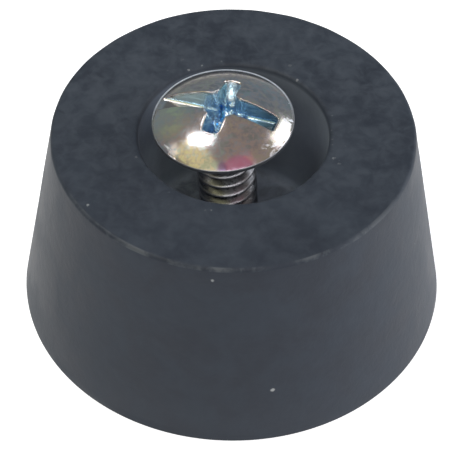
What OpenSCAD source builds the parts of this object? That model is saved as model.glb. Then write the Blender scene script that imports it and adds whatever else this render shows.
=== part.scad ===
// Rubber foot for a cabinet, an amplifier or a bench instrument, with its mounting screw.
// Millimetres. The wide mounting face lies at z = 0 with its centre at the origin, and the narrow
// face that meets the floor in use points up. The screw stands loose in the foot's own hole, its tip
// level with the mounting face, and leans towards -X.

/* [Foot] */
// Diameter of the wide mounting face, before its edge is rounded
foot_base_d = 35; // [31:0.5:60]
// Diameter of the narrow face, before its edge is rounded
foot_top_d = 29; // [20:0.5:34]
// Height between the two faces
foot_h = 17.5; // [15:0.5:19.5]
// Radius on the edge of the mounting face
base_edge_r = 0.4; // [0.1:0.1:1.5]
// Radius on the edge of the narrow face
top_edge_r = 0.5; // [0.1:0.1:1.5]

/* [Recess] */
// Diameter of the recess at its mouth
recess_d = 15.2; // [12.5:0.1:18]
// Depth of the recess below the narrow face
recess_depth = 12; // [10:0.5:14]
// Draft of the recess wall, in degrees
recess_draft = 1; // [0:0.5:4]
// Radius on the edge of the recess mouth
mouth_edge_r = 0.4; // [0.1:0.1:1]
// Radius where the recess wall meets its floor
floor_corner_r = 0.8; // [0.1:0.1:1.5]
// Diameter of the screw hole through the floor
hole_d = 5.3; // [5.2:0.1:8]

/* [Screw] */
// Diameter of the shank over its thread
shank_d = 4.8; // [4:0.1:4.8]
// Length from under the head to the tip
shank_len = 18.4; // [12:0.1:30]
// Length of the bevel at the tip
tip_bevel = 0.6; // [0.1:0.1:1]
// Diameter of the head
head_d = 11.3; // [9:0.1:12.5]
// Height of the head's straight rim
rim_h = 0.35; // [0.2:0.05:0.8]
// Height of the domed crown above the rim
crown_h = 2; // [1.6:0.1:2.4]
// Lean of the screw towards -X, in degrees
screw_lean = 3.2; // [0:0.1:3.6]

/* [Drive] */
// Width of the slot across the crown
slot_w = 1.75; // [1:0.05:2.2]
// Depth of the slot at the middle of the crown
slot_depth = 1.8; // [0.6:0.05:1.95]
// Reach of the slot's closed end from the screw's axis
slot_reach = 4.7; // [3.4:0.1:5]
// Span of the cross recess
cross_span = 5.9; // [4:0.1:7]
// Width of each arm of the cross
cross_w = 1.5; // [1:0.05:2]
// Depth of the cross recess below the crown
cross_depth = 3; // [2.2:0.1:3.6]
// Diameter of the round hub where the slot and the cross meet, at the top of the crown
hub_d = 3; // [2.6:0.1:3.4]
// Draft of the drive's side walls, in degrees
drive_draft = 5; // [0:1:7]
// Turn of the slot about the screw's axis, in degrees from +X
slot_turn = -19; // [-90:1:90]

/* [Hidden] */
$fn = 128;

foot_base_r = foot_base_d / 2;
foot_top_r = foot_top_d / 2;
recess_r = recess_d / 2;
recess_floor_z = foot_h - recess_depth;
recess_floor_r = recess_r - recess_depth * tan(recess_draft);
hole_r = hole_d / 2;

shank_r = shank_d / 2;
tip_r = shank_r - tip_bevel;
head_r = head_d / 2;
head_h = rim_h + crown_h;
crown_r = (head_r * head_r + crown_h * crown_h) / (2 * crown_h);
cross_tip_r = 1.1;                 // radius of the cross recess at its bottom
hub_depth = 2.1;
hub_draft = 16;                    // degrees
end_draft = 12;                    // of the slot's closed end, in degrees
corner_steps = 6;                  // straight steps in each rounded corner of the foot's section
over = 1;                          // how far a cut runs past the surface it opens

// The screw stands on the low edge of its tip. Its foot is set off to +X by part of the play in the
// hole, so that the shank leans across the hole without touching it.
tip_x = 0.78 * (hole_r - shank_r);
tip_z = tip_r * sin(screw_lean);

function unit(v) = v / norm(v);

// Centre of the circle of radius r that touches both sides of corner b between a and c
function round_centre(a, b, c, r) =
    let (u = unit(a - b), v = unit(c - b), half_angle = acos(u * v) / 2)
    b + unit(u + v) * r / sin(half_angle);

// Direction from centre p to the line through b and a, as an angle
function facing(a, b, p) =
    let (u = unit(a - b), foot = b + u * ((p - b) * u), d = foot - p)
    atan2(d[1], d[0]);

// The shorter way round from one angle to another
function turn_between(from, to) = ((to - from + 540) % 360) - 180;

// Points of the arc that rounds corner b, on the way from a to c
function rounded(a, b, c, r) =
    let (
        p = round_centre(a, b, c, r),
        from = facing(a, b, p),
        turn = turn_between(from, facing(c, b, p))
    )
    [
        for (i = [0 : corner_steps])
        let (angle = from + turn * i / corner_steps)
        p + r * [cos(angle), sin(angle)]
    ];

// Half of the foot's section, from the screw hole outwards
module foot_section() {
    hole_low = [hole_r, 0];
    base = [foot_base_r, 0];
    top = [foot_top_r, foot_h];
    mouth = [recess_r, foot_h];
    corner = [recess_floor_r, recess_floor_z];
    hole_high = [hole_r, recess_floor_z];
    polygon(concat(
        [hole_low],
        rounded(hole_low, base, top, base_edge_r),
        rounded(base, top, mouth, top_edge_r),
        rounded(top, mouth, corner, mouth_edge_r),
        rounded(mouth, corner, hole_high, floor_corner_r),
        [hole_high]
    ));
}

module rubber_foot() {
    color([0.22, 0.23, 0.25])
    rotate_extrude() foot_section();
}

// Straight-walled bar that narrows downwards with the drive's draft. Its top is at z = 0.
module drafted_bar(length, top_w, depth) {
    low_half_w = top_w / 2 - depth * tan(drive_draft);
    high_half_w = top_w / 2 + over * tan(drive_draft);
    rotate([90, 0, 90])
    linear_extrude(height = length, center = true)
    polygon([
        [-low_half_w, -depth], [low_half_w, -depth],
        [high_half_w, over], [-high_half_w, over]
    ]);
}

// Slot that runs out through one side of the crown and stops short of the other
module slot_recess() {
    end_x = slot_reach - slot_depth * tan(end_draft);
    intersection() {
        drafted_bar(2 * head_d, slot_w, slot_depth);
        rotate([90, 0, 0])
        linear_extrude(height = head_d, center = true)
        polygon([
            [-head_d, -slot_depth - over], [end_x - over * tan(end_draft), -slot_depth - over],
            [slot_reach + 2 * over * tan(end_draft), 2 * over], [-head_d, 2 * over]
        ]);
    }
}

// Round opening in the middle of the drive
module hub_recess() {
    hub_r = hub_d / 2;
    translate([0, 0, -hub_depth])
    cylinder(
        h = hub_depth + over,
        r1 = hub_r - hub_depth * tan(hub_draft),
        r2 = hub_r + over * tan(hub_draft)
    );
}

// Cross recess: two crossed bars inside a cone that closes in towards the bottom. Its span is
// measured where it breaks the surface of the crown.
module cross_recess() {
    cross_r = cross_span / 2;
    crown_drop = crown_r - sqrt(crown_r * crown_r - cross_r * cross_r);
    spread = (cross_r - cross_tip_r) / (cross_depth - crown_drop);
    intersection() {
        union() {
            for (turn = [0, 90]) rotate(turn) drafted_bar(2 * cross_span, cross_w, cross_depth);
        }
        translate([0, 0, -cross_depth])
        cylinder(
            h = cross_depth + over,
            r1 = cross_tip_r,
            r2 = cross_tip_r + (cross_depth + over) * spread
        );
    }
}

// Domed head with its rim, drawn with its flat underside at z = 0
module head_blank() {
    cylinder(h = rim_h, r = head_r);
    translate([0, 0, rim_h])
    intersection() {
        translate([0, 0, crown_h - crown_r]) sphere(crown_r);
        cylinder(h = crown_h + over, r = head_r);
    }
}

module screw_upright() {
    difference() {
        union() {
            cylinder(h = tip_bevel, r1 = tip_r, r2 = shank_r);
            translate([0, 0, tip_bevel]) cylinder(h = shank_len - tip_bevel, r = shank_r);
            translate([0, 0, shank_len]) head_blank();
        }
        translate([0, 0, shank_len + head_h]) rotate(slot_turn) {
            slot_recess();
            cross_recess();
            hub_recess();
        }
    }
}

module mounting_screw() {
    color([0.78, 0.78, 0.75])
    translate([tip_x, 0, tip_z]) rotate([0, -screw_lean, 0]) screw_upright();
}

rubber_foot();
mounting_screw();
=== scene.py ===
# A black rubber foot, with its zinc-plated machine screw standing loose in the recess.
# Metres, +Z up, and the wide mounting face lies at z = 0. The screw is worked out in millimetres
# along its own axis, from the tip up, then scaled, leaned and set in its hole.
import math

import bmesh
import bpy
from mathutils import Matrix, Quaternion, Vector, noise


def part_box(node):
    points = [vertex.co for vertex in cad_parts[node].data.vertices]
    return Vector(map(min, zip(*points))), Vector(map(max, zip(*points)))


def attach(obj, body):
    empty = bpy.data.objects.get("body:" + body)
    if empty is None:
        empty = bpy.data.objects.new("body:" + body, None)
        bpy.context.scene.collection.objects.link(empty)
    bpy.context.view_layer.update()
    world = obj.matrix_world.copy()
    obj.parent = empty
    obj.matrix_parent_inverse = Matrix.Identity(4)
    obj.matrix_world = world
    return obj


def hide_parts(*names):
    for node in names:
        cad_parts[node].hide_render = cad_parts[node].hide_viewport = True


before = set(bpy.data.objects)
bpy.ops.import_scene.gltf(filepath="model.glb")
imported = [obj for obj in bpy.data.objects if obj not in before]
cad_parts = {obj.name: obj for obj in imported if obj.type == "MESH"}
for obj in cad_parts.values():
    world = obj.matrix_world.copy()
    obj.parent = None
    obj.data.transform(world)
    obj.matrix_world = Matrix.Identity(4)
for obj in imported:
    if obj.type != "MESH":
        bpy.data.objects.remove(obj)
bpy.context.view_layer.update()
footLow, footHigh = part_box("rubber_foot")
mm = 0.001

cameraView = {
    "place": (0.0, -118.06 * mm, 137.9 * mm),
    "target": (-0.6 * mm, -1.17 * mm, 7.71 * mm),
    "roll": 0.58,                        # degrees
    "lens": 169.9,
    "sensor": 36.0,
}

foot = {
    "topWidth": 29 * mm,                 # across the narrow face, before its edge is rounded
    "recessWidth": 15.2 * mm,
    "recessDepth": 12 * mm,
    "recessDraft": 1.0,                  # degrees
    "holeWidth": 5.3 * mm,
    "baseLip": 0.08 * mm,                # the sharp corner of the base stands out this much
    "baseEdge": 0.12 * mm,               # radii of the rounded edges
    "topEdge": 0.36 * mm,
    "mouthEdge": 0.4 * mm,
    "floorCorner": 0.8 * mm,
    "holeEdge": 0.2 * mm,
    "cornerSteps": 7,
    "segments": 288,
    "longestStep": 0.8 * mm,             # between two rings of the mesh
    "waviness": 0.02 * mm,               # unevenness left by the mould
    "flash": 0.05 * mm,                  # broken ridge along the top edge
}

screw = {
    "shankWidth": 4.8,                   # over the thread
    "shankLength": 18.4,
    "tipBevel": 0.6,
    "pitch": 25.4 / 24,
    "threadDepth": 0.62,
    "crestRound": 0.2,
    "threadPhase": 0.64,                 # part of a turn
    "neckWidth": 4.2,
    "neckFillet": 0.3,
    "headWidth": 11.3,
    "rimHeight": 0.35,
    "crownHeight": 2.0,
    "slotWidth": 1.75,
    "slotDepth": 1.8,
    "slotReach": 4.7,                    # the slot is closed at its +X end
    "endDraft": 12.0,                    # degrees
    "crossSpan": 5.9,
    "crossWidth": 1.5,
    "crossDepth": 3.0,
    "crossTip": 1.1,                     # radius at the bottom of the cross
    "crossBow": 0.09,                    # the ends of the arms are hollowed this much
    "hubWidth": 3.0,                     # round opening where the slot and the cross meet
    "hubDepth": 2.1,
    "hubDraft": 16.0,
    "draft": 5.0,                        # degrees
    "lip": 0.09,                         # radius where the drive breaks the crown
    "fillet": 0.24,                      # radius where a wall of the drive meets its floor
    "rimRound": 0.08,                    # upper and lower radii of the rim
    "underRound": 0.12,
    "landWidth": 0.11,                   # flat that the die leaves round the crown, off centre
    "landDrop": 0.02,
    "landSide": 110.0,                   # degrees from the slot to where it is widest
    "slotTurn": -19.0,                   # degrees
    "lean": 3.2,                         # degrees, towards -X
    "offset": 0.195,                     # of the tip, towards +X
    "around": 128,                       # points round the shank
    "profileRows": (0, 0.065, 0.15, 0.235, 0.32, 0.385, 0.435, 0.47, 0.5, 0.53, 0.565, 0.615,
                    0.68, 0.765, 0.85, 0.935),
}


# ---- shapes

def smoothStep(value):
    value = min(1.0, max(0.0, value))
    return value * value * (3 - 2 * value)


def roundCorner(before, corner, after, radius, steps):
    # points of the arc that rounds one corner of a section
    toBefore = (before - corner).normalized()
    toAfter = (after - corner).normalized()
    half = toBefore.angle(toAfter) / 2
    centre = corner + (toBefore + toAfter).normalized() * radius / math.sin(half)
    first = corner + toBefore * radius / math.tan(half) - centre
    last = corner + toAfter * radius / math.tan(half) - centre
    start = math.atan2(first.y, first.x)
    turn = (math.atan2(last.y, last.x) - start + math.pi) % (2 * math.pi) - math.pi
    angles = [start + turn * step / steps for step in range(steps + 1)]
    return [centre + radius * Vector((math.cos(a), math.sin(a))) for a in angles]


def fillStraights(points, longest):
    # breaks the long sides of a closed section into even steps
    filled = []
    for point, after in zip(points, points[1:] + points[:1]):
        steps = max(1, math.ceil((after - point).length / longest))
        filled += [point.lerp(after, step / steps) for step in range(steps)]
    return filled


def addRing(bm, angles, radius, height):
    return [bm.verts.new((radius * math.cos(a), radius * math.sin(a), height)) for a in angles]


def joinRings(bm, upper, lower):
    for index in range(len(upper)):
        after = (index + 1) % len(upper)
        bm.faces.new((upper[index], upper[after], lower[after], lower[index]))


def stitchRings(bm, outer, inner):
    # triangles between two rings with different numbers of points, both in order of angle
    def angleOf(ring, index):
        vert = ring[index % len(ring)]
        return math.atan2(vert.co.y, vert.co.x) + 2 * math.pi * (index // len(ring))

    outer = sorted(outer, key=lambda vert: math.atan2(vert.co.y, vert.co.x))
    inner = sorted(inner, key=lambda vert: math.atan2(vert.co.y, vert.co.x))
    a = b = 0
    while a < len(outer) or b < len(inner):
        here, there = outer[a % len(outer)], inner[b % len(inner)]
        outerNext = a < len(outer) and angleOf(outer, a + 1) <= angleOf(inner, b + 1)
        if outerNext or b == len(inner):
            a += 1
            bm.faces.new((here, outer[a % len(outer)], there))
        else:
            b += 1
            bm.faces.new((here, inner[b % len(inner)], there))


def layGrid(bm, rows):
    for row, nextRow in zip(rows, rows[1:]):
        for index in range(len(row) - 1):
            bm.faces.new((row[index], row[index + 1], nextRow[index + 1], nextRow[index]))


def makeObject(name, bm, sharpAbove=40):
    bmesh.ops.recalc_face_normals(bm, faces=bm.faces)
    mesh = bpy.data.meshes.new(name)
    bm.to_mesh(mesh)
    bm.free()
    mesh.shade_smooth()
    mesh.set_sharp_from_angle(angle=math.radians(sharpAbove))
    piece = bpy.data.objects.new(name, mesh)
    bpy.context.scene.collection.objects.link(piece)
    return piece


# ---- rubber foot

def footSection():
    # half of the section, from the screw hole outwards
    height = footHigh.z
    topRadius = foot["topWidth"] / 2
    baseRadius = footHigh.x + foot["baseLip"]
    recessRadius = foot["recessWidth"] / 2
    floorRadius = recessRadius - foot["recessDepth"] * math.tan(math.radians(foot["recessDraft"]))
    floorHeight = height - foot["recessDepth"]
    holeRadius = foot["holeWidth"] / 2
    corners = [
        (holeRadius, 0, foot["holeEdge"]),
        (baseRadius, 0, foot["baseEdge"]),
        (topRadius, height, foot["topEdge"]),
        (recessRadius, height, foot["mouthEdge"]),
        (floorRadius, floorHeight, foot["floorCorner"]),
        (holeRadius, floorHeight, foot["holeEdge"]),
    ]
    points = []
    for index, (x, z, radius) in enumerate(corners):
        before = Vector(corners[index - 1][:2])
        after = Vector(corners[(index + 1) % len(corners)][:2])
        points += roundCorner(before, Vector((x, z)), after, radius, foot["cornerSteps"])
    return fillStraights(points, foot["longestStep"])


def roughenFoot(bm):
    # the mould's slight waves on the outside, and what is left of the flash along the top edge
    topRadius = foot["topWidth"] / 2
    height = footHigh.z
    bm.normal_update()
    moves = {}
    for vert in bm.verts:
        radius = math.hypot(vert.co.x, vert.co.y)
        if vert.co.z < foot["baseEdge"] or radius < foot["recessWidth"] / 2:
            continue
        push = foot["waviness"] * noise.noise(vert.co / (5 * mm))
        fromEdge = math.hypot(radius - topRadius, vert.co.z - height)
        broken = noise.noise(vert.co / (2.4 * mm) + Vector((7, 3, 1))) + 0.15
        push += foot["flash"] * max(0, broken) * smoothStep(1 - fromEdge / (0.7 * mm))
        moves[vert] = vert.normal * push
    for vert, move in moves.items():
        vert.co += move


def makeFoot():
    section = footSection()
    angles = [2 * math.pi * index / foot["segments"] for index in range(foot["segments"])]
    bm = bmesh.new()
    rings = [addRing(bm, angles, point.x, point.y) for point in section]
    for ring, nextRing in zip(rings, rings[1:] + rings[:1]):
        joinRings(bm, ring, nextRing)
    bmesh.ops.recalc_face_normals(bm, faces=bm.faces)
    roughenFoot(bm)
    return makeObject("footMoulding", bm)


# ---- screw

headRadius = screw["headWidth"] / 2
crownRadius = (headRadius ** 2 + screw["crownHeight"] ** 2) / (2 * screw["crownHeight"])
crownTop = screw["shankLength"] + screw["rimHeight"] + screw["crownHeight"]
slope = math.tan(math.radians(screw["draft"]))
slotHalf = screw["slotWidth"] / 2
armHalf = screw["crossWidth"] / 2
slotFoot = slotHalf - screw["slotDepth"] * slope
armFoot = armHalf - screw["crossDepth"] * slope
squareSide = 3.6                         # half the side of the square grid inside the round head
stretchFrom = 1.3                        # lines of the grid fan out beyond this


def roundedUnion(a, b, radius):
    return max(radius, min(a, b)) - math.hypot(max(radius - a, 0), max(radius - b, 0))


def roundedOverlap(a, b, radius):
    return min(-radius, max(a, b)) + math.hypot(max(radius + a, 0), max(radius + b, 0))


def dropAt(x, y):
    # how far the crown lies below its top
    return crownRadius - math.sqrt(crownRadius ** 2 - x * x - y * y)


def barCut(across, z, halfWidth, depth):
    # distance to a bar cut with drafted sides, less than nothing inside it
    side = (abs(across) - halfWidth - z * slope) * math.cos(math.radians(screw["draft"]))
    return roundedOverlap(side, -depth - z, screw["fillet"])


def leaningCut(across, z, reach, draft):
    # distance to the inside of a wall that leans out, reach from the axis at the crown's top
    return (across - reach) * math.cos(math.radians(draft)) - z * math.sin(math.radians(draft))


def driveCut(x, y, z):
    # the slot runs along X; the cross is two bars inside a cone; a hub opens the middle
    lip, fillet = screw["lip"], screw["fillet"]
    crossRadius, tip, depth = screw["crossSpan"] / 2, screw["crossTip"], screw["crossDepth"]
    spread = (crossRadius - tip) / (depth - dropAt(crossRadius, 0))
    upWall = min(1, max(0, (z + depth) / (depth - dropAt(crossRadius, 0))))
    reach = tip + (z + depth) * spread + 4 * screw["crossBow"] * upWall * (1 - upWall)
    cone = (math.hypot(x, y) - reach) * math.cos(math.atan(spread))
    alongX = barCut(y, z, armHalf, depth)
    alongY = barCut(x, z, armHalf, depth)
    cross = roundedOverlap(roundedUnion(alongX, alongY, lip), cone, fillet)
    slot = barCut(y, z, slotHalf, screw["slotDepth"])
    slot = roundedOverlap(slot, leaningCut(x, z, screw["slotReach"], screw["endDraft"]), fillet)
    hub = leaningCut(math.hypot(x, y), z, screw["hubWidth"] / 2, screw["hubDraft"])
    hub = roundedOverlap(hub, -screw["hubDepth"] - z, fillet)
    return roundedUnion(roundedUnion(slot, cross, lip), hub, lip)


def crownHeight(x, y):
    # height of the metal over (x, y), counted from the top of the crown
    high, low = 0.2, -screw["crossDepth"] - 0.2
    for step in range(22):
        z = (high + low) / 2
        crown = math.sqrt(x * x + y * y + (z + crownRadius) ** 2) - crownRadius
        if roundedOverlap(crown, -driveCut(x, y, z), screw["lip"]) > 0:
            high = z
        else:
            low = z
    return high


def lineTo(lines, end, steps):
    # carries a list of grid lines on to a new place in even steps
    start = lines[-1]
    lines += [start + (end - start) * step / steps for step in range(1, steps + 1)]


def lineUpWall(lines, top, steps):
    # lines up a wall of the drive, then crowding over its lip
    lineTo(lines, top, steps)
    lines += [top + screw["lip"] * (step / 4) ** 2 for step in range(1, 5)]


def bothSides(lines):
    return [-line for line in reversed(lines[1:])] + lines


def crossLines(edgeDepth):
    # places of the grid lines that run beside the arms across the slot
    lines = [0.0]
    lineTo(lines, armFoot - screw["fillet"], 3)
    lineTo(lines, armFoot, 4)
    lineUpWall(lines, armHalf - edgeDepth * slope, 6)
    lineTo(lines, 1.8, 12)               # the arms along the slot end near here, below its floor
    lineTo(lines, 2.1, 6)
    lineTo(lines, squareSide, 8)
    return bothSides(lines)


def slotLines(edgeDepth):
    # places of the grid lines that run beside the slot
    lines = [0.0]
    lineTo(lines, armFoot - screw["fillet"], 3)
    lineTo(lines, armFoot, 3)
    lineTo(lines, armHalf - screw["slotDepth"] * slope, 4)
    lineTo(lines, slotFoot, 5)
    lineUpWall(lines, slotHalf - edgeDepth * slope, 6)
    lineTo(lines, 1.6, 8)
    lineTo(lines, 2.75, 8)
    lineTo(lines, 3.05, 8)               # the arms across the slot end near here
    lineTo(lines, squareSide, 3)
    return bothSides(lines)


def depthBesideArm(y):
    # how far below the crown's top the arms across the slot begin
    if abs(y) < slotFoot:
        return screw["slotDepth"]
    rise = min(1, (abs(y) - slotFoot) / (slotHalf - slotFoot))
    return screw["slotDepth"] + (dropAt(armHalf, y) - screw["slotDepth"]) * rise


def headGrid(bm):
    # the crown as a square grid that follows the walls of the drive, with four skirts out to the
    # round rim; gives back the outermost points in order round the head
    edgeRadius = headRadius - screw["rimRound"] - screw["landWidth"]
    fan = (edgeRadius * math.sqrt(0.5) - stretchFrom) / (squareSide - stretchFrom) - 1
    skirtLines = [squareSide]
    lineTo(skirtLines, screw["slotReach"] - 0.3, 6)
    lineTo(skirtLines, screw["slotReach"] + 0.15, 8)
    lineTo(skirtLines, edgeRadius, 7)
    deepestLip = 1.6
    plainX, plainY = crossLines(0), slotLines(0)
    lastX, lastY = len(plainX) - 1, len(plainY) - 1
    columns = [crossLines(depthBesideArm(y)) for y in plainY]
    rows = [slotLines(dropAt(min(abs(x), squareSide), slotHalf)) for x in plainX]

    def place(x, y):
        return bm.verts.new((x, y, crownTop + crownHeight(x, y)))

    def fanned(line, share):
        extra = max(0, abs(line) - stretchFrom) * fan * share
        return line + math.copysign(extra, line)

    grid = [[place(columns[j][i], rows[i][j]) for j in range(lastY + 1)] for i in range(lastX + 1)]
    layGrid(bm, grid)
    shares = [(line - squareSide) / (edgeRadius - squareSide) for line in skirtLines[1:]]
    corners = {}
    for signX in (-1, 1):
        for signY in (-1, 1):
            points = [fanned(squareSide, share) for share in shares]
            corners[signX, signY] = [place(signX * p, signY * p) for p in points]

    rim = {}
    for sign, i in ((1, lastX), (-1, 0)):
        skirt = [grid[i]]
        for number, share in enumerate(shares):
            row = [corners[sign, -1][number]]
            for j in range(1, lastY):
                reach = math.sqrt(edgeRadius ** 2 - fanned(plainY[j], 1) ** 2)
                x = squareSide + (reach - squareSide) * share
                line = slotLines(min(dropAt(x, 0), deepestLip))[j]
                row.append(place(sign * x, fanned(line, share)))
            skirt.append(row + [corners[sign, 1][number]])
        layGrid(bm, skirt)
        rim["x", sign] = skirt[-1]
    for sign, j in ((1, lastY), (-1, 0)):
        skirt = [[grid[i][j] for i in range(lastX + 1)]]
        for number, share in enumerate(shares):
            row = [corners[-1, sign][number]]
            for i in range(1, lastX):
                reach = math.sqrt(edgeRadius ** 2 - fanned(columns[j][i], 1) ** 2)
                y = squareSide + (reach - squareSide) * share
                row.append(place(fanned(columns[j][i], share), sign * y))
            skirt.append(row + [corners[1, sign][number]])
        layGrid(bm, skirt)
        rim["y", sign] = skirt[-1]
    return rim["x", 1][:-1] + rim["y", 1][:0:-1] + rim["x", -1][:0:-1] + rim["y", -1][:-1]


def headRim(bm, loop):
    # the land, the rounded rim and the underside; where there is no land the rim rounds straight
    # off the crown; gives back the innermost ring and its angles
    angles = [math.atan2(vert.co.y, vert.co.x) for vert in loop]
    under, upper, lower = screw["shankLength"], screw["rimRound"], screw["underRound"]
    steps, side = 5, math.radians(screw["landSide"])
    crownTilt = math.asin(headRadius / crownRadius)
    shares = [smoothStep(0.45 + 0.55 * math.cos(a - side)) for a in angles]
    tilts = [crownTilt * (1 - share) for share in shares]
    starts, lands = [], []
    for vert, a, share, tilt in zip(loop, angles, shares, tilts):
        start = headRadius - upper * (1 - math.sin(tilt)) - screw["landWidth"] * share
        top = crownTop - dropAt(start, 0)
        vert.co = (start * math.cos(a), start * math.sin(a), top)
        starts.append(start)
        lands.append(top - screw["landDrop"] * share)

    def nextRing(loop, radii, heights):
        ring = []
        for a, radius, height in zip(angles, radii, heights):
            ring.append(bm.verts.new((radius * math.cos(a), radius * math.sin(a), height)))
        joinRings(bm, loop, ring)
        return ring

    stepOut = [start + 0.4 * screw["landDrop"] * share for start, share in zip(starts, shares)]
    loop = nextRing(loop, stepOut, lands)
    for step in range(steps + 1):
        turned = [tilt + (math.pi / 2 - tilt) * step / steps for tilt in tilts]
        radii = [headRadius - upper * (1 - math.sin(turn)) for turn in turned]
        falls = [upper * (math.cos(tilt) - math.cos(turn)) for tilt, turn in zip(tilts, turned)]
        loop = nextRing(loop, radii, [land - fall for land, fall in zip(lands, falls)])
    for step in range(steps + 1):
        a = math.pi / 2 * step / steps
        radius = headRadius - lower * (1 - math.cos(a))
        loop = nextRing(loop, [radius] * len(loop), [under + lower * (1 - math.sin(a))] * len(loop))
    for radius in (headRadius - 0.5, headRadius - 1.0):
        loop = nextRing(loop, [radius] * len(loop), [under] * len(loop))
    even = [2 * math.pi * index / screw["around"] for index in range(screw["around"])]
    neck = addRing(bm, even, headRadius - 1.6, under)
    stitchRings(bm, loop, neck)
    return neck, even


def threadRadius(part, z):
    # part is how far across the profile, from one root to the next; the thread runs out below
    # the head and over the tip
    shankRadius, depth, crest = screw["shankWidth"] / 2, screw["threadDepth"], screw["crestRound"]
    downFlank = abs(part - 0.5) * screw["pitch"] * math.tan(math.radians(60))
    thread = shankRadius - min(depth, math.hypot(downFlank, crest) - crest)
    toNeck = smoothStep((z - screw["shankLength"] + 1.6) / 1.0)
    thread += (screw["neckWidth"] / 2 - thread) * toNeck
    return min(thread, shankRadius - screw["tipBevel"] + max(0, z))


def threadStrip(bm, top):
    # the profile carried round a right-hand helix, past both ends of the thread
    around, pitch = screw["around"], screw["pitch"]
    turns = math.ceil(top / pitch) + 3
    strip = []
    for step in range(turns * around):
        angle = 2 * math.pi * step / around
        line = []
        for part in screw["profileRows"]:
            z = pitch * (step / around + part - screw["threadPhase"] - 1)
            radius = threadRadius(part, z)
            line.append(bm.verts.new((radius * math.cos(angle), radius * math.sin(angle), z)))
        strip.append(line)
    for step in range((turns - 1) * around - 1):
        here = strip[step] + [strip[step + around][0]]
        there = strip[step + 1] + [strip[step + 1 + around][0]]
        layGrid(bm, [here, there])
    loose = [vert for vert in bm.verts if not vert.link_faces]
    bmesh.ops.delete(bm, geom=loose, context="VERTS")


def cutLevel(bm, level, side):
    # cuts everything past a level away; gives back the points of the cut
    parts = bm.verts[:] + bm.edges[:] + bm.faces[:]
    bmesh.ops.bisect_plane(
        bm, geom=parts, dist=1e-5, plane_co=(0, 0, level), plane_no=(0, 0, side), clear_outer=True
    )
    return [vert for vert in bm.verts if vert.is_boundary and abs(vert.co.z - level) < 1e-3]


def screwPlace():
    # from the screw's own axis to where it leans in its hole
    lean = math.radians(screw["lean"])
    tipLift = (screw["shankWidth"] / 2 - screw["tipBevel"]) * math.sin(lean)
    place = Matrix.Translation((screw["offset"] * mm, 0, tipLift * mm))
    turn = Matrix.Rotation(math.radians(screw["slotTurn"]), 4, "Z")
    return place @ Matrix.Rotation(-lean, 4, "Y") @ turn


def makeScrew():
    bm = bmesh.new()
    neckRadius, fillet, under = screw["neckWidth"] / 2, screw["neckFillet"], screw["shankLength"]
    threadTop = under - fillet - 0.05
    threadStrip(bm, threadTop)
    tip = cutLevel(bm, 0, -1)
    runOut = cutLevel(bm, threadTop, 1)

    ring, angles = headRim(bm, headGrid(bm))
    for step in range(5):
        a = math.pi / 2 * step / 4
        radius = neckRadius + fillet * (1 - math.sin(a))
        nextRing = addRing(bm, angles, radius, under - fillet * (1 - math.cos(a)))
        joinRings(bm, ring, nextRing)
        ring = nextRing
    stitchRings(bm, ring, runOut)

    ring = addRing(bm, angles[::4], 1.4, 0)
    stitchRings(bm, tip, ring)
    for radius in (0.9, 0.4):
        nextRing = addRing(bm, angles[::4], radius, 0)
        joinRings(bm, ring, nextRing)
        ring = nextRing
    bm.faces.new(ring)
    bmesh.ops.remove_doubles(bm, verts=bm.verts, dist=0.0005)

    bmesh.ops.scale(bm, vec=(mm, mm, mm), verts=bm.verts)
    bmesh.ops.transform(bm, matrix=screwPlace(), verts=bm.verts)
    return makeObject("zincScrew", bm)


# ---- shader helpers

def node(tree, kind, x, y, **settings):
    # settings name either a property of the node or one of its inputs, with _ for a space
    made = tree.nodes.new("ShaderNode" + kind)
    made.location = (x, y)
    for name, value in settings.items():
        if hasattr(made, name):
            setattr(made, name, value)
        else:
            made.inputs[name.replace("_", " ")].default_value = value
    return made


def link(tree, fromSocket, toSocket):
    tree.links.new(fromSocket, toSocket)


def newGroup(name, inputs, outputs):
    group = bpy.data.node_groups.new(name, "ShaderNodeTree")
    for label, kind, value in inputs:
        socket = group.interface.new_socket(label, in_out="INPUT", socket_type="NodeSocket" + kind)
        if value is not None:
            socket.default_value = value
    for label, kind in outputs:
        group.interface.new_socket(label, in_out="OUTPUT", socket_type="NodeSocket" + kind)
    start = group.nodes.new("NodeGroupInput")
    start.location = (-900, 0)
    end = group.nodes.new("NodeGroupOutput")
    end.location = (500, 0)
    return group, start.outputs, end.inputs


def placeGroup(tree, group, x, y, **settings):
    made = tree.nodes.new("ShaderNodeGroup")
    made.node_tree = group
    made.location = (x, y)
    for name, value in settings.items():
        made.inputs[name.replace("_", " ")].default_value = value
    return made


def mixColour(tree, x, y, mask, low, high, blend="MIX"):
    # low and high are sockets or colours
    made = node(tree, "Mix", x, y, data_type="RGBA", blend_type=blend)
    for slot, value in ((0, mask), (6, low), (7, high)):
        if isinstance(value, bpy.types.NodeSocket):
            link(tree, value, made.inputs[slot])
        else:
            made.inputs[slot].default_value = value
    return made.outputs[2]


def sums(tree, x, y, operation, *values, clamp=False):
    made = node(tree, "Math", x, y, operation=operation, use_clamp=clamp)
    for slot, value in enumerate(values):
        if isinstance(value, bpy.types.NodeSocket):
            link(tree, value, made.inputs[slot])
        else:
            made.inputs[slot].default_value = value
    return made.outputs[0]


def ramp(tree, x, y, value, low, high, toLow=0.0, toHigh=1.0):
    # smooth step from one value to another
    made = node(tree, "MapRange", x, y, interpolation_type="SMOOTHSTEP")
    link(tree, value, made.inputs["Value"])
    made.inputs["From Min"].default_value = low
    made.inputs["From Max"].default_value = high
    made.inputs["To Min"].default_value = toLow
    made.inputs["To Max"].default_value = toHigh
    return made.outputs["Result"]


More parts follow.
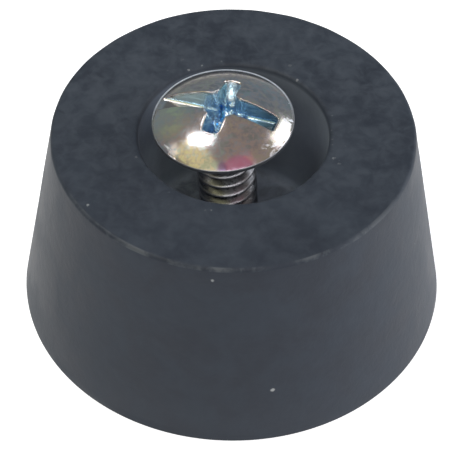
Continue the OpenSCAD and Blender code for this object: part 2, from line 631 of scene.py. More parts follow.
def newMaterial(name):
    material = bpy.data.materials.new(name)
    material.use_nodes = True
    tree = material.node_tree
    tree.nodes.clear()
    output = node(tree, "OutputMaterial", 900, 0)
    shader = node(tree, "BsdfPrincipled", 600, 0)
    link(tree, shader.outputs["BSDF"], output.inputs["Surface"])
    return material, tree, shader


# ---- effects that both finishes use

def mottleGroup():
    # cloudy patches over finer ones, as a mask from 0 to 1
    group, inputs, outputs = newGroup(
        "mottle",
        [("Vector", "Vector", None), ("Patch Size", "Float", 1.0), ("Low", "Float", 0.4),
         ("High", "Float", 0.6)],
        [("Mask", "Float")],
    )
    scale = sums(group, -700, -100, "DIVIDE", 1.0, inputs["Patch Size"])
    cloud = node(group, "TexNoise", -500, 0, Detail=4.0, Roughness=0.6, Distortion=0.4)
    link(group, inputs["Vector"], cloud.inputs["Vector"])
    link(group, scale, cloud.inputs["Scale"])
    limits = node(group, "MapRange", -200, 0, interpolation_type="SMOOTHSTEP")
    link(group, cloud.outputs["Fac"], limits.inputs["Value"])
    link(group, inputs["Low"], limits.inputs["From Min"])
    link(group, inputs["High"], limits.inputs["From Max"])
    link(group, limits.outputs["Result"], outputs["Mask"])
    return group


def specksGroup():
    # scattered small spots: dust on the rubber, pits in the plating
    group, inputs, outputs = newGroup(
        "specks",
        [("Vector", "Vector", None), ("Spacing", "Float", 1.0), ("Spot Size", "Float", 0.2),
         ("Amount", "Float", 0.3)],
        [("Mask", "Float")],
    )
    scale = sums(group, -700, -100, "DIVIDE", 1.0, inputs["Spacing"])
    cells = node(group, "TexVoronoi", -500, 0, feature="F1")
    link(group, inputs["Vector"], cells.inputs["Vector"])
    link(group, scale, cells.inputs["Scale"])
    ragged = node(group, "TexNoise", -500, -300, Detail=2.0)
    link(group, inputs["Vector"], ragged.inputs["Vector"])
    link(group, sums(group, -700, -350, "MULTIPLY", scale, 3.0), ragged.inputs["Scale"])
    pick = node(group, "SeparateColor", -300, 100)
    link(group, cells.outputs["Color"], pick.inputs["Color"])
    chosen = sums(group, -150, 150, "LESS_THAN", pick.outputs["Red"], inputs["Amount"])
    size = sums(group, -150, 0, "MULTIPLY", inputs["Spot Size"], pick.outputs["Green"])
    size = sums(group, 0, 0, "MULTIPLY", size, sums(group, -150, -200, "MULTIPLY", ragged.outputs["Fac"], 2.0))
    inside = sums(group, 100, -50, "SUBTRACT", size, cells.outputs["Distance"])
    soft = sums(group, 200, -50, "MULTIPLY", inside, 12.0, clamp=True)
    link(group, sums(group, 350, 0, "MULTIPLY", soft, chosen), outputs["Mask"])
    return group


def edgeRubGroup(mottle):
    # raised edges, worn through in places
    group, inputs, outputs = newGroup(
        "edgeRub",
        [("Vector", "Vector", None), ("Low", "Float", 0.5), ("High", "Float", 0.6),
         ("Patch Size", "Float", 1.0)],
        [("Mask", "Float")],
    )
    geometry = node(group, "NewGeometry", -600, 100)
    limits = node(group, "MapRange", -400, 100, interpolation_type="SMOOTHSTEP")
    link(group, geometry.outputs["Pointiness"], limits.inputs["Value"])
    link(group, inputs["Low"], limits.inputs["From Min"])
    link(group, inputs["High"], limits.inputs["From Max"])
    patches = placeGroup(group, mottle, -400, -200, Low=0.35, High=0.65)
    link(group, inputs["Vector"], patches.inputs["Vector"])
    link(group, inputs["Patch Size"], patches.inputs["Patch Size"])
    worn = sums(group, 0, 0, "MULTIPLY", limits.outputs["Result"], patches.outputs["Mask"])
    link(group, worn, outputs["Mask"])
    return group


def grainGroup():
    # fine surface grain as a height
    group, inputs, outputs = newGroup(
        "grain",
        [("Vector", "Vector", None), ("Grain Size", "Float", 1.0), ("Coarse Share", "Float", 0.3)],
        [("Height", "Float")],
    )
    scale = sums(group, -700, -100, "DIVIDE", 1.0, inputs["Grain Size"])
    fine = node(group, "TexNoise", -500, 100, Detail=3.0, Roughness=0.7)
    coarse = node(group, "TexNoise", -500, -200, Detail=1.0)
    for texture in (fine, coarse):
        link(group, inputs["Vector"], texture.inputs["Vector"])
    link(group, scale, fine.inputs["Scale"])
    link(group, sums(group, -700, -300, "DIVIDE", scale, 7.0), coarse.inputs["Scale"])
    both = node(group, "Mix", -200, 0, data_type="FLOAT")
    link(group, inputs["Coarse Share"], both.inputs[0])
    link(group, fine.outputs["Fac"], both.inputs[2])
    link(group, coarse.outputs["Fac"], both.inputs[3])
    link(group, both.outputs[0], outputs["Height"])
    return group


# ---- rubber

rubber = {
    "dark": (0.021, 0.027, 0.040, 1),
    "light": (0.031, 0.040, 0.056, 1),
    "bloom": (0.065, 0.078, 0.099, 1),   # pale film on rubber that has been stored, also used as painted light
    "recess": (0.195, 0.228, 0.28, 1),   # paler rubber inside the recess: painted light that lifts its shade, and paler still deep down on one side: painted light in the head's shadow
    "deepLift": (0.42, 0.48, 0.54, 1),       # and dusty towards the bottom
    # painted highlight along the front edge of the narrow face
    "edgeHighlight": (0.082, 0.094, 0.108, 1),
    "dust": (0.42, 0.44, 0.45, 1),
    "roughness": 0.48,
    "specular": 0.23,
    "sheen": 0.05,
}


def rubberMaterial(effects):
    material, tree, shader = newMaterial("mouldedRubber")
    where = node(tree, "TexCoord", -1500, 0).outputs["Object"]
    normal = node(tree, "NewGeometry", -1500, -400).outputs["Normal"]
    facing = node(tree, "SeparateXYZ", -1300, -400)
    link(tree, normal, facing.inputs["Vector"])

    clouds = placeGroup(tree, effects["mottle"], -1100, 300, Patch_Size=4 * mm, Low=0.3, High=0.7)
    bloom = placeGroup(tree, effects["mottle"], -1100, 0, Patch_Size=1.3 * mm, Low=0.3, High=0.75)
    dust = placeGroup(tree, effects["specks"], -1100, -250, Spacing=1.6 * mm, Spot_Size=0.13, Amount=0.13)
    rub = placeGroup(tree, effects["edgeRub"], -1100, -500, Low=0.51, High=0.56, Patch_Size=2 * mm)
    grain = placeGroup(tree, effects["grain"], -1100, -750, Grain_Size=0.12 * mm, Coarse_Share=0.45)
    for effect in (clouds, bloom, dust, rub, grain):
        link(tree, where, effect.inputs["Vector"])

    # inside the recess: near the axis, below the narrow face and above the recess floor
    place = node(tree, "SeparateXYZ", -1300, 700)
    link(tree, where, place.inputs["Vector"])
    flat = node(tree, "CombineXYZ", -1150, 700)
    link(tree, place.outputs["X"], flat.inputs["X"])
    link(tree, place.outputs["Y"], flat.inputs["Y"])
    fromAxis = node(tree, "VectorMath", -1000, 700, operation="LENGTH")
    link(tree, flat.outputs["Vector"], fromAxis.inputs[0])
    mouth = foot["recessWidth"] / 2
    inside = ramp(tree, -850, 700, fromAxis.outputs["Value"], mouth + 0.15 * mm, mouth)
    lowDown = ramp(tree, -850, 500, place.outputs["Z"], footHigh.z - 0.1 * mm, footHigh.z - 0.6 * mm)
    inside = sums(tree, -650, 600, "MULTIPLY", inside, lowDown)
    recessFloor = footHigh.z - foot["recessDepth"]
    aboveFloor = ramp(tree, -850, 350, place.outputs["Z"], recessFloor - 0.3 * mm, recessFloor - 0.1 * mm)
    inside = sums(tree, -600, 600, "MULTIPLY", inside, aboveFloor)

    # pale bloom in patches, with painted sheen: laid on more on upward faces and towards the back
    upward = ramp(tree, -900, -400, facing.outputs["Z"], 0.3, 0.95, 0.25, 1.0)
    bloomAndSheen = sums(tree, -700, 0, "MULTIPLY", bloom.outputs["Mask"], upward)
    towardsBack = ramp(tree, -850, 150, place.outputs["Y"], -14 * mm, 6 * mm, 0.3, 0.65)
    bloomAndSheen = sums(tree, -550, 0, "MULTIPLY", bloomAndSheen, towardsBack)
    colour = mixColour(tree, -600, 300, clouds.outputs["Mask"], rubber["dark"], rubber["light"])
    # painted light: the recess is painted paler to lift its shade, palest deep down on the -X side, in the head's
    # shadow
    deepLiftMask = ramp(tree, -850, 300, place.outputs["Z"], 15 * mm, 8 * mm)
    headShadeSide = ramp(tree, -850, 450, place.outputs["X"], 1 * mm, -4 * mm, 0.02, 1)
    deepLiftMask = sums(tree, -700, 400, "MULTIPLY", deepLiftMask, headShadeSide)
    within = mixColour(tree, -600, 450, deepLiftMask, rubber["recess"], rubber["deepLift"])
    # painted light: the sides are paler towards the base, in the bloom colour
    lowest = ramp(tree, -850, 0, place.outputs["Z"], 6 * mm, 0, 0, 0.16)
    colour = mixColour(tree, -500, 300, lowest, colour, rubber["bloom"])
    colour = mixColour(tree, -450, 300, inside, colour, within)
    colour = mixColour(tree, -300, 300, bloomAndSheen, colour, rubber["bloom"])
    edgeWearAndLitSide = sums(tree, -500, -300, "MULTIPLY", rub.outputs["Mask"], 0.5)
    colour = mixColour(tree, -100, 300, edgeWearAndLitSide, colour, rubber["bloom"])
    colour = mixColour(tree, 100, 300, dust.outputs["Mask"], colour, rubber["dust"])
    # painted highlight: the front edge of the narrow face is painted pale, in places
    topRadius = foot["topWidth"] / 2
    outer = ramp(tree, -850, 1300, fromAxis.outputs["Value"], topRadius - 0.28 * mm, topRadius - 0.18 * mm)
    upper = ramp(tree, -850, 1500, place.outputs["Z"], footHigh.z - 0.3 * mm, footHigh.z - 0.2 * mm)
    onEdge = sums(tree, -650, 1400, "MULTIPLY", outer, upper)
    onEdge = sums(tree, -550, 1300, "MULTIPLY", onEdge, ramp(tree, -850, 2000, place.outputs["Y"], -4 * mm, -13 * mm))
    patches = placeGroup(tree, effects["mottle"], -850, 1700, Patch_Size=2.4 * mm, Low=0.42, High=0.6)
    link(tree, where, patches.inputs["Vector"])
    highlightedEdge = sums(tree, -500, 1500, "MULTIPLY", onEdge, patches.outputs["Mask"])
    colour = mixColour(tree, 180, 450, highlightedEdge, colour, rubber["edgeHighlight"])
    # fine crumbs gather round the mouth of the recess
    crumbs = placeGroup(tree, effects["specks"], -1100, -1000, Spacing=0.55 * mm, Spot_Size=0.3, Amount=0.35)
    link(tree, where, crumbs.inputs["Vector"])
    byMouth = ramp(tree, -850, 900, fromAxis.outputs["Value"], mouth + 2.2 * mm, mouth + 0.2 * mm)
    byMouth = sums(tree, -700, 900, "MULTIPLY", byMouth, ramp(tree, -850, 1100, facing.outputs["Z"], 0.5, 0.9))
    byMouth = sums(tree, -550, 900, "MULTIPLY", byMouth, crumbs.outputs["Mask"])
    byMouth = sums(tree, -400, 900, "MULTIPLY", byMouth, clouds.outputs["Mask"])
    byMouth = sums(tree, -250, 900, "MULTIPLY", byMouth, 0.35)
    colour = mixColour(tree, 250, 300, byMouth, colour, rubber["dust"])
    link(tree, colour, shader.inputs["Base Color"])

    rough = ramp(tree, 0, 0, clouds.outputs["Mask"], 0, 1, rubber["roughness"], rubber["roughness"] + 0.08)
    rough = sums(tree, 200, 0, "MAXIMUM", rough, dust.outputs["Mask"])
    link(tree, rough, shader.inputs["Roughness"])
    shader.inputs["Specular IOR Level"].default_value = rubber["specular"]
    shader.inputs["Sheen Weight"].default_value = rubber["sheen"]
    shader.inputs["Sheen Roughness"].default_value = 0.4

    # the mould leaves the sides slightly uneven
    waves = placeGroup(tree, effects["mottle"], -300, -600, Patch_Size=0.9 * mm, Low=0.25, High=0.75)
    link(tree, where, waves.inputs["Vector"])
    steep = ramp(tree, -300, -800, facing.outputs["Z"], 0.6, 0.3)
    uneven = sums(tree, -100, -600, "MULTIPLY", waves.outputs["Mask"], steep)
    wavy = node(tree, "Bump", 100, -500, Strength=0.45, Distance=0.025 * mm)
    link(tree, uneven, wavy.inputs["Height"])
    bump = node(tree, "Bump", 300, -400, Strength=0.35, Distance=0.02 * mm)
    link(tree, grain.outputs["Height"], bump.inputs["Height"])
    link(tree, wavy.outputs["Normal"], bump.inputs["Normal"])
    link(tree, bump.outputs["Normal"], shader.inputs["Normal"])
    return material


# ---- zinc plating

zinc = {
    # bare zinc on rubbed edges, and the painted highlight along the rim
    "worn": (0.80, 0.82, 0.87, 1),
    # painted shade for the shank, down in the recess
    "shank": (0.175, 0.18, 0.195, 1),
    # painted highlight for the thread crests
    "crest": (0.40, 0.40, 0.43, 1),
    # painted shade for the outer side of the rim
    "rimSide": (0.26, 0.265, 0.28, 1),
    "pit": (0.20, 0.18, 0.16, 1),
    "dirt": (0.25, 0.23, 0.22, 1),
    "wallFilm": (0.64, 0.79, 0.86, 1),   # the passivation film lies thicker down in the drive,
    "blueFilm": (0.22, 0.37, 0.50, 1),   # and bluer towards the closed end of the slot
    # painted highlight for pale streaks on the walls towards the closed end
    "streakHighlight": (0.66, 0.88, 0.96, 1),
    "deepDark": (0.045, 0.23, 0.50, 1),
    # painted highlight for the pale marks deep in the drive
    "deepHighlight": (0.88, 1.0, 1.0, 1),
    "slotFloor": (0.13, 0.16, 0.18, 1),
    "openFloor": (0.31, 0.28, 0.26, 1),
    "green": (0.56, 0.60, 0.42, 1),
    "rosy": (0.42, 0.30, 0.38, 1),
    "violet": (0.27, 0.20, 0.32, 1),
    "roughness": 0.13,
    "filmStops": [                       # colours of the film as it thickens
        (0.00, (0.44, 0.44, 0.43, 1)),
        (0.25, (0.50, 0.47, 0.40, 1)),
        (0.42, (0.50, 0.43, 0.42, 1)),
        (0.58, (0.43, 0.44, 0.47, 1)),
        (0.75, (0.39, 0.46, 0.43, 1)),
        (1.00, (0.48, 0.47, 0.44, 1)),
    ],
}


def zincMaterial(effects):
    material, tree, shader = newMaterial("zincPlate")
    upright = node(tree, "Mapping", -1900, 0, vector_type="TEXTURE")
    link(tree, node(tree, "TexCoord", -2100, 0).outputs["Object"], upright.inputs["Vector"])
    upright.inputs["Location"].default_value = screwPlace().to_translation()
    upright.inputs["Rotation"].default_value = screwPlace().to_euler()
    where = upright.outputs["Vector"]

    # depth below the crown: distance from the middle of the crown's sphere
    middle = (0, 0, (crownTop - crownRadius) * mm)
    toMiddle = node(tree, "VectorMath", -1600, 500, operation="DISTANCE")
    link(tree, where, toMiddle.inputs[0])
    toMiddle.inputs[1].default_value = middle
    below = sums(tree, -1400, 500, "SUBTRACT", crownRadius * mm, toMiddle.outputs["Value"])
    onWalls = ramp(tree, -1200, 500, below, 0.04 * mm, 0.35 * mm)
    deepDown = ramp(tree, -1200, 700, below, 0.9 * mm, 1.7 * mm)
    fromAxis = node(tree, "VectorMath", -1600, 900, operation="LENGTH")
    flat = node(tree, "VectorMath", -1800, 900, operation="MULTIPLY")
    link(tree, where, flat.inputs[0])
    flat.inputs[1].default_value = (1, 1, 0)
    link(tree, flat.outputs["Vector"], fromAxis.inputs[0])
    fromStain = node(tree, "VectorMath", -1600, 1100, operation="DISTANCE")
    link(tree, flat.outputs["Vector"], fromStain.inputs[0])
    fromStain.inputs[1].default_value = (0.6 * mm, 0, 0)
    central = ramp(tree, -1200, 900, fromStain.outputs["Value"], 3.2 * mm, 1.9 * mm)
    deepDown = sums(tree, -1100, 800, "MULTIPLY", deepDown, central)
    place = node(tree, "SeparateXYZ", -1600, 250)
    link(tree, where, place.inputs["Vector"])
    onHead = ramp(tree, -1400, 250, place.outputs["Z"], 18.5 * mm, 18.6 * mm)
    aboveTip = ramp(tree, -1400, 50, place.outputs["Z"], 17.4 * mm, 17.5 * mm)
    inDrive = ramp(tree, -1200, 250, fromAxis.outputs["Value"], 1.9 * mm, 1.7 * mm)
    inDrive = sums(tree, -1100, 250, "MAXIMUM", inDrive, onHead)
    inDrive = sums(tree, -1000, 250, "MULTIPLY", inDrive, aboveTip)
    onWalls = sums(tree, -1000, 500, "MULTIPLY", onWalls, inDrive)
    deepDown = sums(tree, -1000, 700, "MULTIPLY", deepDown, inDrive)

    film = placeGroup(tree, effects["mottle"], -1200, 0, Patch_Size=2.6 * mm, Low=0.2, High=0.8)
    fleck = placeGroup(tree, effects["mottle"], -1200, -200, Patch_Size=0.4 * mm, Low=0.35, High=0.65)
    smudge = placeGroup(tree, effects["mottle"], -1200, -100, Patch_Size=1.3 * mm, Low=0.4, High=0.62)
    link(tree, where, smudge.inputs["Vector"])
    pits = placeGroup(tree, effects["specks"], -1200, -400, Spacing=0.5 * mm, Spot_Size=0.14, Amount=0.12)
    rub = placeGroup(tree, effects["edgeRub"], -1200, -600, Low=0.52, High=0.6, Patch_Size=0.8 * mm)
    grain = placeGroup(tree, effects["grain"], -1200, -800, Grain_Size=0.06 * mm, Coarse_Share=0.5)
    press = placeGroup(tree, effects["mottle"], -1200, -1000, Patch_Size=0.36 * mm, Low=0.4, High=0.6)
    for effect in (film, fleck, pits, rub, grain):
        link(tree, where, effect.inputs["Vector"])
    drawn = node(tree, "VectorMath", -1400, -1000, operation="MULTIPLY")
    link(tree, where, drawn.inputs[0])
    drawn.inputs[1].default_value = (1, 1, 0.35)
    link(tree, drawn.outputs["Vector"], press.inputs["Vector"])
    along = placeGroup(tree, effects["mottle"], -1200, -1300, Patch_Size=0.32 * mm, Low=0.3, High=0.7)
    swept = node(tree, "VectorMath", -1400, -1300, operation="MULTIPLY")
    link(tree, where, swept.inputs[0])
    swept.inputs[1].default_value = (0.3, 1, 1)
    link(tree, swept.outputs["Vector"], along.inputs["Vector"])
    inArms = ramp(tree, -1200, -1500, fromAxis.outputs["Value"], 1.5 * mm, 2.2 * mm)
    aside = sums(tree, -1200, 1800, "ABSOLUTE", place.outputs["Y"])
    inSlot = ramp(tree, -1050, 1800, aside, 1.0 * mm, 0.92 * mm)
    inWings = sums(tree, -1100, -1400, "MULTIPLY", inArms, inSlot)
    marks = node(tree, "Mix", -1000, -1200, data_type="FLOAT")
    link(tree, inWings, marks.inputs[0])
    link(tree, press.outputs["Mask"], marks.inputs[2])
    link(tree, along.outputs["Mask"], marks.inputs[3])
    marks = marks.outputs[0]

    thickness = sums(tree, -900, 0, "MULTIPLY", film.outputs["Mask"], 0.55)
    flecks = sums(tree, -900, -150, "MULTIPLY", fleck.outputs["Mask"], 0.32)
    thickness = sums(tree, -750, 0, "ADD", thickness, flecks)
    stops = node(tree, "ValToRGB", -600, 0)
    link(tree, thickness, stops.inputs["Fac"])
    steps = stops.color_ramp.elements
    while len(steps) < len(zinc["filmStops"]):
        steps.new(0.5)
    for step, (position, colour) in zip(steps, zinc["filmStops"]):
        step.position = position
        step.color = colour
    # painted highlight: the flat round the rim is pale and rougher, most on the far side; painted shade: the shank is
    # darker than the head
    edge = headRadius - screw["rimRound"] - screw["landWidth"]
    rimHighlight = ramp(tree, -900, 1100, fromAxis.outputs["Value"], (edge - 0.02) * mm, (edge + 0.02) * mm)
    side = math.radians(screw["landSide"])
    toSide = node(tree, "VectorMath", -1600, 1300, operation="DOT_PRODUCT")
    link(tree, where, toSide.inputs[0])
    toSide.inputs[1].default_value = (math.cos(side), math.sin(side), 0)
    edgeWearAndLitSide = ramp(tree, -900, 1400, toSide.outputs["Value"], -1.5 * mm, 3.5 * mm)
    rimHighlight = sums(tree, -600, 1100, "MULTIPLY", rimHighlight, edgeWearAndLitSide)
    onShank = sums(tree, -900, 1300, "SUBTRACT", 1.0, sums(tree, -1050, 1300, "MAXIMUM", onHead, inDrive))
    dirt = sums(tree, -600, 500, "MULTIPLY", smudge.outputs["Mask"], fleck.outputs["Mask"])
    dirt = sums(tree, -500, 500, "MULTIPLY", dirt, 0.55)
    colour = mixColour(tree, -450, 400, dirt, stops.outputs["Color"], zinc["dirt"])
    # the film is tinted a yellower green low on one side: film colour and a painted reflection of a yellow thing in
    # front
    fromGreen = node(tree, "VectorMath", -1600, 1500, operation="DISTANCE")
    link(tree, flat.outputs["Vector"], fromGreen.inputs[0])
    fromGreen.inputs[1].default_value = (-3.7 * mm, -2.0 * mm, 0)
    greener = ramp(tree, -1200, 2000, fromGreen.outputs["Value"], 2.4 * mm, 0.8 * mm)
    greener = sums(tree, -1000, 2000, "MULTIPLY", greener, ramp(tree, -1200, 2200, smudge.outputs["Mask"], 0, 1, 0.35, 1))
    colour = mixColour(tree, -450, 500, greener, colour, zinc["green"])
    # and rosy low on the front, beside a small violet spot: film tints and painted reflections of pink things in front
    for x, y, faded, full, film in (
        (3.26, -5.15, 1.55, 1.2, "rosy"),
        (1.76, -5.1, 0.55, 0.15, "violet"),
    ):
        fromSpot = node(tree, "VectorMath", -1600, 1700, operation="DISTANCE")
        link(tree, flat.outputs["Vector"], fromSpot.inputs[0])
        fromSpot.inputs[1].default_value = (x * mm, y * mm, 0)
        tintedSpot = ramp(tree, -1200, 2600, fromSpot.outputs["Value"], faded * mm, full * mm)
        colour = mixColour(tree, -450, 600, tintedSpot, colour, zinc[film])
    towardEnd = ramp(tree, -900, 1600, place.outputs["X"], -1.5 * mm, 1.2 * mm)
    # painted highlights: pale streaks along the marks on the walls towards the closed end
    streaked = ramp(tree, -900, 1750, place.outputs["X"], 3.6 * mm, 1.6 * mm)
    streaked = sums(tree, -800, 1750, "MULTIPLY", streaked, marks)
    endFilmAndStreaks = mixColour(tree, -700, 800, streaked, zinc["blueFilm"], zinc["streakHighlight"])
    wallFilm = mixColour(tree, -600, 700, towardEnd, zinc["wallFilm"], endFilmAndStreaks)
    colour = mixColour(tree, -450, 300, onWalls, colour, wallFilm)
    onFloor = sums(tree, -1200, 1500, "COMPARE", place.outputs["Z"], (crownTop - screw["slotDepth"]) * mm, 0.05 * mm)
    onFloor = sums(tree, -1000, 1500, "MULTIPLY", onFloor, onWalls)
    floorFilm = mixColour(tree, -700, 1500, towardEnd, zinc["openFloor"], zinc["slotFloor"])
    colour = mixColour(tree, -400, 400, onFloor, colour, floorFilm)
    nearFloor = sums(tree, -1200, 1650, "COMPARE", place.outputs["Z"], (crownTop - screw["slotDepth"] + 0.08) * mm, 0.13 * mm)
    dullWalls = sums(tree, -1000, 1650, "SUBTRACT", onWalls, nearFloor, clamp=True)
    dullWalls = sums(tree, -900, 1700, "MULTIPLY", dullWalls, inWings)
    # painted highlights: the marks deep in the middle are painted pale, paler towards the far side
    paler = ramp(tree, -700, 2000, place.outputs["Y"], -0.2 * mm, 1.1 * mm, 0.65, 1.0)
    paler = sums(tree, -500, 2000, "MULTIPLY", marks, paler)
    # painted reflection: a pale patch at the end of the far arm, which is also left smoother
    farArm = ramp(tree, -900, 2200, place.outputs["Y"], 1.0 * mm, 1.3 * mm)
    fromPatch = node(tree, "VectorMath", -1600, 1900, operation="DISTANCE")
    standing = node(tree, "VectorMath", -1800, 1900, operation="MULTIPLY")
    link(tree, where, standing.inputs[0])
    standing.inputs[1].default_value = (1, 0, 0.7)
    link(tree, standing.outputs["Vector"], fromPatch.inputs[0])
    fromPatch.inputs[1].default_value = (0, 0, 0.7 * (crownTop - 1.2) * mm)
    patch = ramp(tree, -1200, 2400, fromPatch.outputs["Value"], 0.6 * mm, 0.35 * mm)
    patch = sums(tree, -1000, 2400, "MULTIPLY", patch, farArm)
    paler = sums(tree, -400, 2000, "MAXIMUM", paler, patch)
    deepFilmAndHighlights = mixColour(tree, -500, 600, paler, zinc["deepDark"], zinc["deepHighlight"])
    colour = mixColour(tree, -300, 200, deepDown, colour, deepFilmAndHighlights)
    colour = mixColour(tree, -100, 200, sums(tree, -300, -300, "MULTIPLY", pits.outputs["Mask"], 0.4), colour, zinc["pit"])
    # worn edges, and the painted highlight along the rim
    wearAndRimHighlight = sums(tree, -150, -500, "MAXIMUM", rub.outputs["Mask"], rimHighlight)
    colour = mixColour(tree, 50, 200, wearAndRimHighlight, colour, zinc["worn"])
    # painted shade: the shank, down in the recess, is painted darker than the head
    colour = mixColour(tree, 200, 200, onShank, colour, zinc["shank"])
    # painted highlight: the thread crests are painted paler, as thin light lines
    crest = ramp(tree, 100, 500, fromAxis.outputs["Value"], 2.24 * mm, 2.35 * mm)
    onCrest = sums(tree, 200, 500, "MULTIPLY", crest, onShank)
    colour = mixColour(tree, 350, 300, onCrest, colour, zinc["crest"])
    # painted shade: the outer side of the rim is painted darker
    onSide = ramp(tree, 300, 700, fromAxis.outputs["Value"], (headRadius - 0.07) * mm, (headRadius - 0.04) * mm)
    colour = mixColour(tree, 450, 400, onSide, colour, zinc["rimSide"])
    link(tree, colour, shader.inputs["Base Color"])

    shader.inputs["Metallic"].default_value = 1.0
    rough = ramp(tree, 0, -100, fleck.outputs["Mask"], 0, 1, zinc["roughness"], zinc["roughness"] + 0.08)
    rough = sums(tree, 150, -100, "ADD", rough, sums(tree, 0, -300, "MULTIPLY", pits.outputs["Mask"], 0.3))
    rough = sums(tree, 250, -100, "ADD", rough, sums(tree, 0, -450, "MULTIPLY", dullWalls, 0.2))
    rough = sums(tree, 350, -100, "ADD", rough, sums(tree, 0, -600, "MULTIPLY", rub.outputs["Mask"], 0.2))
    rough = sums(tree, 450, -100, "ADD", rough, sums(tree, 200, -750, "MULTIPLY", onShank, 0.12))
    rough = sums(tree, 550, -100, "ADD", rough, sums(tree, 350, -750, "MULTIPLY", rimHighlight, 0.28))
    rough = sums(tree, 650, -100, "ADD", rough, sums(tree, 350, -950, "MULTIPLY", onCrest, 0.1))
    rough = sums(tree, 750, -100, "ADD", rough, sums(tree, 450, -950, "MULTIPLY", onSide, 0.2))
    link(tree, rough, shader.inputs["Roughness"])

    # the punch leaves the walls of the drive uneven
    smooth = sums(tree, -250, -1200, "MULTIPLY", sums(tree, -400, -1200, "MULTIPLY", nearFloor, inArms), 0.9)
    punched = sums(tree, -100, -1200, "SUBTRACT", onWalls, smooth, clamp=True)
    punched = sums(tree, -50, -1000, "SUBTRACT", punched, sums(tree, -200, -1000, "MULTIPLY", farArm, 0.7), clamp=True)
    punched = sums(tree, 0, -1100, "MULTIPLY", marks, punched)
    dents = node(tree, "Bump", 100, -400, Strength=0.7, Distance=0.07 * mm)
    link(tree, punched, dents.inputs["Height"])
    bump = node(tree, "Bump", 300, -400, Distance=0.004 * mm)
    link(tree, ramp(tree, 100, -700, onShank, 0, 1, 0.25, 0.05), bump.inputs["Strength"])
    link(tree, grain.outputs["Height"], bump.inputs["Height"])
    link(tree, dents.outputs["Normal"], bump.inputs["Normal"])
    link(tree, bump.outputs["Normal"], shader.inputs["Normal"])
    return material


# ---- studio

studio = {
    "overhead": (0.40, 0.355, 0.325),    # light of the room, from above and from its sides
    "horizon": (0.25, 0.27, 0.305),
    "behind": (0.285, 0.34, 0.38),        # the room on the far side
    "floorNear": (0.72, 0.735, 0.755, 1),
    "floorFar": (0.40, 0.43, 0.45, 1),   # the floor darkens into the room beyond the table
    "floorLift": 0.75,                   # what the floor adds for the lens and for reflections
    "lampDistance": 0.8,
    # name, azimuth from the front towards +X, elevation, width, height and roll in degrees,
    # radiance, colour
    "lamps": [
        ("keyBox", -96, 64.5, 9.5, 21, -12, 10.8, (0.95, 0.98, 1)),
        ("topCard", -143, 66.5, 8, 8, 0, 12.0, (0.95, 0.98, 1)),
        ("leftCard", -93, 37, 11, 9, 0, 0.95, (0.97, 1, 0.97)),
        ("sideBox", 111.6, 31, 32.5, 23, -43, 3.0, (0.95, 0.98, 1)),
        ("goldCard", -60, 54, 48, 26, 0, 0.66, (1, 0.97, 0.38)),
        ("rosyCard", 25, 62, 30, 15, 0, 0.33, (1, 0.02, 0.22)),
        ("frontWindow", 8, 48.5, 56, 6, 0, 6.5, (0.96, 0.99, 1)),
        ("frontCard", -32, 22, 16, 8, 0, 2.2, (0.95, 0.98, 1)),
        ("rightFill", 88, 9, 50, 16, 0, 6.3, (0.93, 0.96, 1)),
    ],
}


def directionOf(azimuth, elevation):
    a, e = math.radians(azimuth), math.radians(elevation)
    return Vector((math.sin(a) * math.cos(e), -math.cos(a) * math.cos(e), math.sin(e)))


def makeLamps():
    for name, azimuth, elevation, width, height, roll, radiance, colour in studio["lamps"]:
        lamp = bpy.data.lights.new(name, "AREA")
        lamp.shape = "RECTANGLE"
        lamp.size = 2 * studio["lampDistance"] * math.tan(math.radians(width / 2))
        lamp.size_y = 2 * studio["lampDistance"] * math.tan(math.radians(height / 2))
        lamp.energy = radiance * math.pi * lamp.size * lamp.size_y
        lamp.color = colour
        holder = bpy.data.objects.new(name, lamp)
        direction = directionOf(azimuth, elevation)
        holder.location = direction * studio["lampDistance"]
        holder.rotation_mode = "QUATERNION"
        turn = Quaternion((0, 0, 1), math.radians(roll))
        holder.rotation_quaternion = direction.to_track_quat("Z", "Y") @ turn
        holder.visible_camera = False
        bpy.context.scene.collection.objects.link(holder)


def makeWorld():
    world = bpy.data.worlds.new("room")
    bpy.context.scene.world = world
    world.use_nodes = True
    tree = world.node_tree
    tree.nodes.clear()
    output = node(tree, "OutputWorld", 400, 0)
    background = node(tree, "Background", 200, 0)
    where = node(tree, "TexCoord", -600, 0).outputs["Generated"]
    height = node(tree, "SeparateXYZ", -400, 0)
    link(tree, where, height.inputs["Vector"])
    up = ramp(tree, -200, 0, height.outputs["Z"], 0.0, 0.75)
    colour = mixColour(tree, 0, 0, up, studio["horizon"] + (1,), studio["overhead"] + (1,))
    beyond = ramp(tree, -200, -300, height.outputs["Y"], 0.25, 0.75)
    colour = mixColour(tree, 100, -200, beyond, colour, studio["behind"] + (1,))
    link(tree, colour, background.inputs["Color"])
    link(tree, background.outputs["Background"], output.inputs["Surface"])


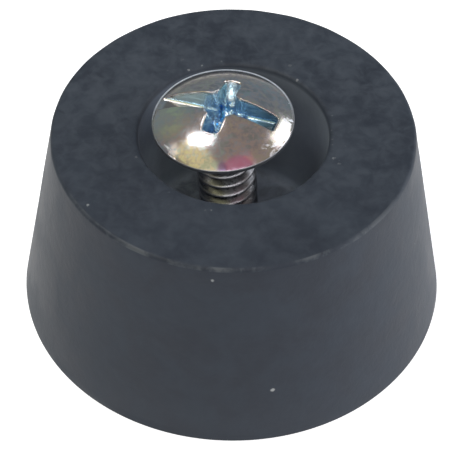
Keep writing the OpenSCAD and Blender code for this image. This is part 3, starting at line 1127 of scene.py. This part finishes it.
def makeFloor():
    bm = bmesh.new()
    half = 1.5
    corners = [(-half, -half), (half, -half), (half, half), (-half, half)]
    bm.faces.new([bm.verts.new((x, y, -0.05 * mm)) for x, y in corners])
    mesh = bpy.data.meshes.new("floor")
    bm.to_mesh(mesh)
    bm.free()
    floor = bpy.data.objects.new("floor", mesh)
    bpy.context.scene.collection.objects.link(floor)
    material = bpy.data.materials.new("paleFloor")
    material.use_nodes = True
    tree = material.node_tree
    tree.nodes.clear()
    output = node(tree, "OutputMaterial", 400, 0)
    where = node(tree, "TexCoord", -1000, 400).outputs["Object"]
    away = node(tree, "VectorMath", -800, 400, operation="LENGTH")
    link(tree, where, away.inputs[0])
    far = ramp(tree, -600, 400, away.outputs["Value"], 0.055, 0.14)
    across = node(tree, "SeparateXYZ", -800, 600)
    link(tree, where, across.inputs["Vector"])
    behind = ramp(tree, -600, 600, across.outputs["Y"], -0.02, 0.06)
    far = sums(tree, -500, 500, "MULTIPLY", far, behind)
    rays = node(tree, "LightPath", -800, 0)
    unseen = sums(tree, -600, 250, "SUBTRACT", 1.0, rays.outputs["Is Camera Ray"])
    far = sums(tree, -450, 500, "MULTIPLY", far, unseen)
    paint = node(tree, "BsdfDiffuse", -200, 100)
    shade = mixColour(tree, -400, 400, far, studio["floorNear"], studio["floorFar"])
    link(tree, shade, paint.inputs["Color"])
    glow = node(tree, "Emission", -200, -100)
    seen = sums(tree, -600, 0, "ADD", rays.outputs["Is Camera Ray"], rays.outputs["Is Glossy Ray"])
    seen = sums(tree, -450, 0, "ADD", seen, rays.outputs["Is Transmission Ray"], clamp=True)
    near = sums(tree, -450, -200, "SUBTRACT", 1.0, far)
    lift = sums(tree, -350, -100, "MULTIPLY", seen, near)
    link(tree, sums(tree, -300, -200, "MULTIPLY", lift, studio["floorLift"]), glow.inputs["Strength"])
    both = node(tree, "AddShader", 100, 0)
    link(tree, paint.outputs["BSDF"], both.inputs[0])
    link(tree, glow.outputs["Emission"], both.inputs[1])
    link(tree, both.outputs["Shader"], output.inputs["Surface"])
    mesh.materials.append(material)


def makeCamera():
    lens = bpy.data.cameras.new("viewCamera")
    lens.lens = cameraView["lens"]
    lens.sensor_width = cameraView["sensor"]
    lens.clip_start = 10 * mm
    lens.clip_end = 10
    camera = bpy.data.objects.new("viewCamera", lens)
    place, target = Vector(cameraView["place"]), Vector(cameraView["target"])
    camera.location = place
    camera.rotation_mode = "QUATERNION"
    roll = Quaternion((0, 0, 1), math.radians(cameraView["roll"]))
    camera.rotation_quaternion = (target - place).to_track_quat("-Z", "Y") @ roll
    bpy.context.scene.collection.objects.link(camera)
    bpy.context.scene.camera = camera


# ---- putting it together

makeCamera()
print("camera placed")

mottle = mottleGroup()
effects = {
    "mottle": mottle,
    "specks": specksGroup(),
    "edgeRub": edgeRubGroup(mottle),
    "grain": grainGroup(),
}

footPiece = makeFoot()
footPiece.data.materials.append(rubberMaterial(effects))
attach(footPiece, "root")
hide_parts("rubber_foot")
print("foot moulded:", len(footPiece.data.polygons), "faces")

screwPiece = makeScrew()
screwPiece.data.materials.append(zincMaterial(effects))
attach(screwPiece, "root")
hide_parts("mounting_screw")
print("screw cut:", len(screwPiece.data.polygons), "faces")

makeFloor()
makeLamps()
makeWorld()
bpy.context.scene.view_settings.view_transform = "Standard"
print("studio lit")
